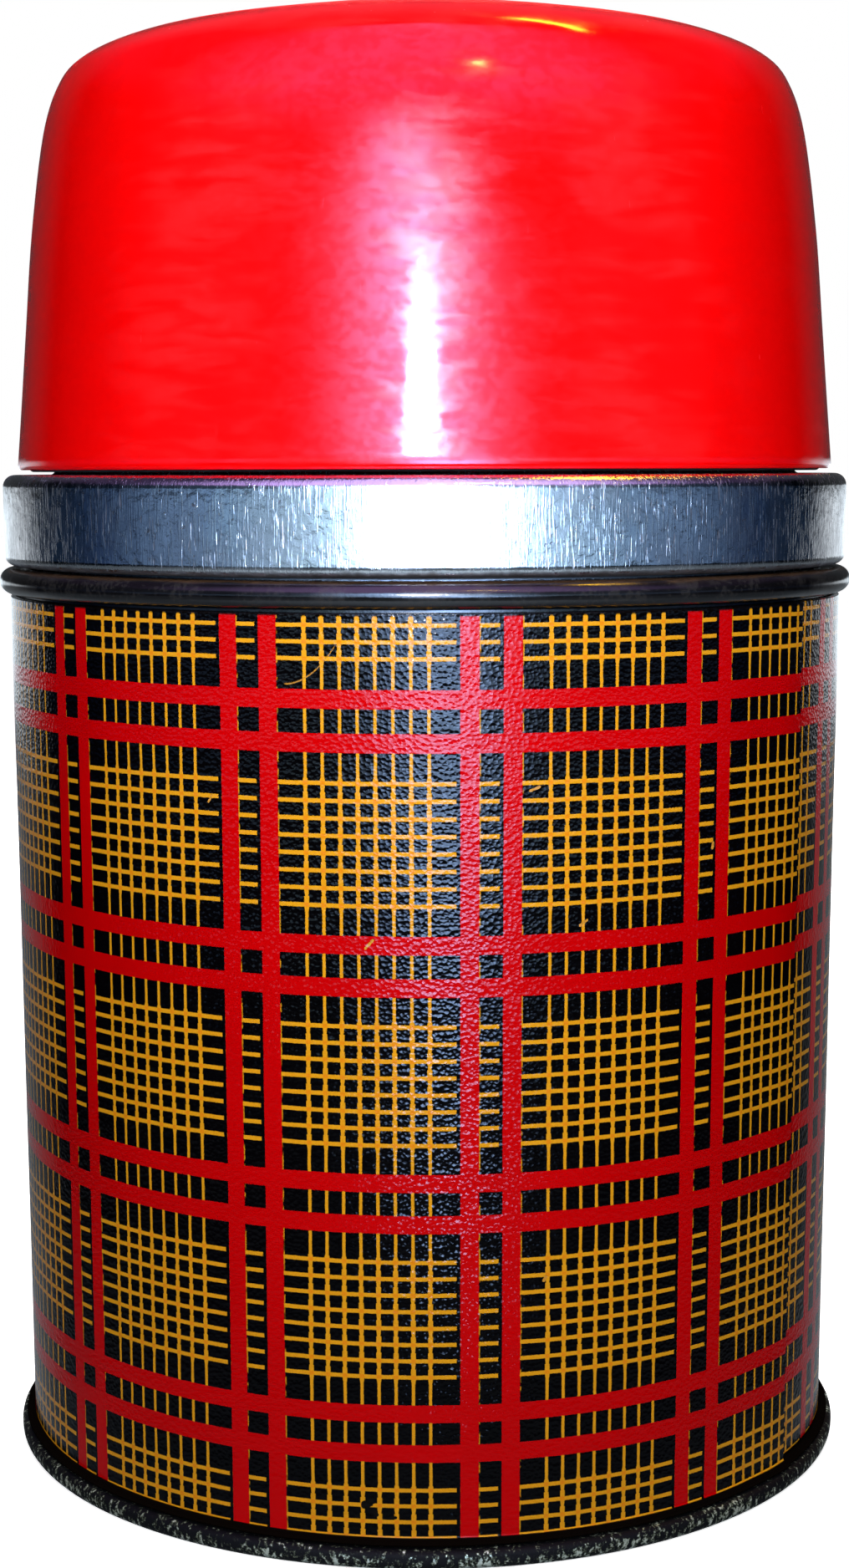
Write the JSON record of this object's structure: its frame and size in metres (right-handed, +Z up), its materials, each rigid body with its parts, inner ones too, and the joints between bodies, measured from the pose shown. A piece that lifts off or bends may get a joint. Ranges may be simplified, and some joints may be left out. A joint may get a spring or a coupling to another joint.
{
  "type": "vacuum food flask",
  "caption": "Squat cylindrical vacuum food flask with a plaid printed steel case, polished collar, screw stopper and a red screw-on cup over the mouth.",
  "frame": {"origin": "centre of the base, on the surface that the flask stands on", "axes": "+Z up along the flask's axis, from the base towards the cup; -Y is the side that faces the viewer, and the case's side seam is to the right of it, between +X and -Y"},
  "size_m": [0.095, 0.095, 0.156],
  "materials": {
    "plaid_tinplate": "varnished tinplate printed with red bands and thin yellow lines on black",
    "dark_steel": "dull dark steel with grime along its upper edge",
    "base_steel": "worn dark steel, pitted and mottled",
    "polished_metal": "polished, with fine upright scratches",
    "silvered_glass": "silvered on the inner side",
    "corrugated_card": "plain",
    "felt": "pressed felt",
    "black_rubber": "matt",
    "ivory_plastic": "satin moulded",
    "insulating_foam": "expanded bead foam",
    "red_plastic": "glossy, with faint scuffs"
  },
  "bodies": {
    "case": {"base_pan": "base_steel", "jacket": "plaid_tinplate", "case_ring": "dark_steel", "card_sleeve": "corrugated_card", "bottom_cushion": "felt"},
    "filler": {"filler_outer_glass": "silvered_glass", "filler_inner_glass": "silvered_glass", "tip_guard": "black_rubber", "neck_gasket": "black_rubber", "glass_spacer_1": "felt", "glass_spacer_2": "felt", "glass_spacer_3": "felt"},
    "collar": {"collar": "polished_metal", "thread_insert": "ivory_plastic"},
    "stopper_ring": {"stopper_gasket": "black_rubber"},
    "stopper": {"stopper_body": "ivory_plastic", "stopper_plug": "ivory_plastic", "stopper_core": "insulating_foam"},
    "cup_ring": {"cup_rim_seal": "black_rubber"},
    "cup": {"cup_shell": "red_plastic"}
  },
  "joints": [
    {"name": "collar_rise", "type": "slide", "parent": "case", "child": "filler", "axis": [0, 0, 1], "range_m": [0, 0.024]},
    {"name": "collar_turn", "type": "hinge", "parent": "filler", "child": "collar", "pos_m": [0, 0, 0.1], "axis": [0, 0, 1], "range_deg": [0, 1080]},
    {"name": "stopper_rise", "type": "slide", "parent": "collar", "child": "stopper_ring", "axis": [0, 0, 1], "range_m": [0, 0.028]},
    {"name": "stopper_turn", "type": "hinge", "parent": "stopper_ring", "child": "stopper", "pos_m": [0, 0, 0.118], "axis": [0, 0, 1], "range_deg": [0, 1260]},
    {"name": "cup_rise", "type": "slide", "parent": "stopper", "child": "cup_ring", "axis": [0, 0, 1], "range_m": [0, 0.024]},
    {"name": "cup_turn", "type": "hinge", "parent": "cup_ring", "child": "cup", "pos_m": [0, 0, 0.118], "axis": [0, 0, 1], "range_deg": [0, 1080]}
  ],
  "couplings": [
    {"joint": "collar_rise", "follows": "collar_turn", "m_per_rad": 0.0012732},
    {"joint": "stopper_rise", "follows": "stopper_turn", "m_per_rad": 0.0012732},
    {"joint": "cup_rise", "follows": "cup_turn", "m_per_rad": 0.0012732}
  ]
}
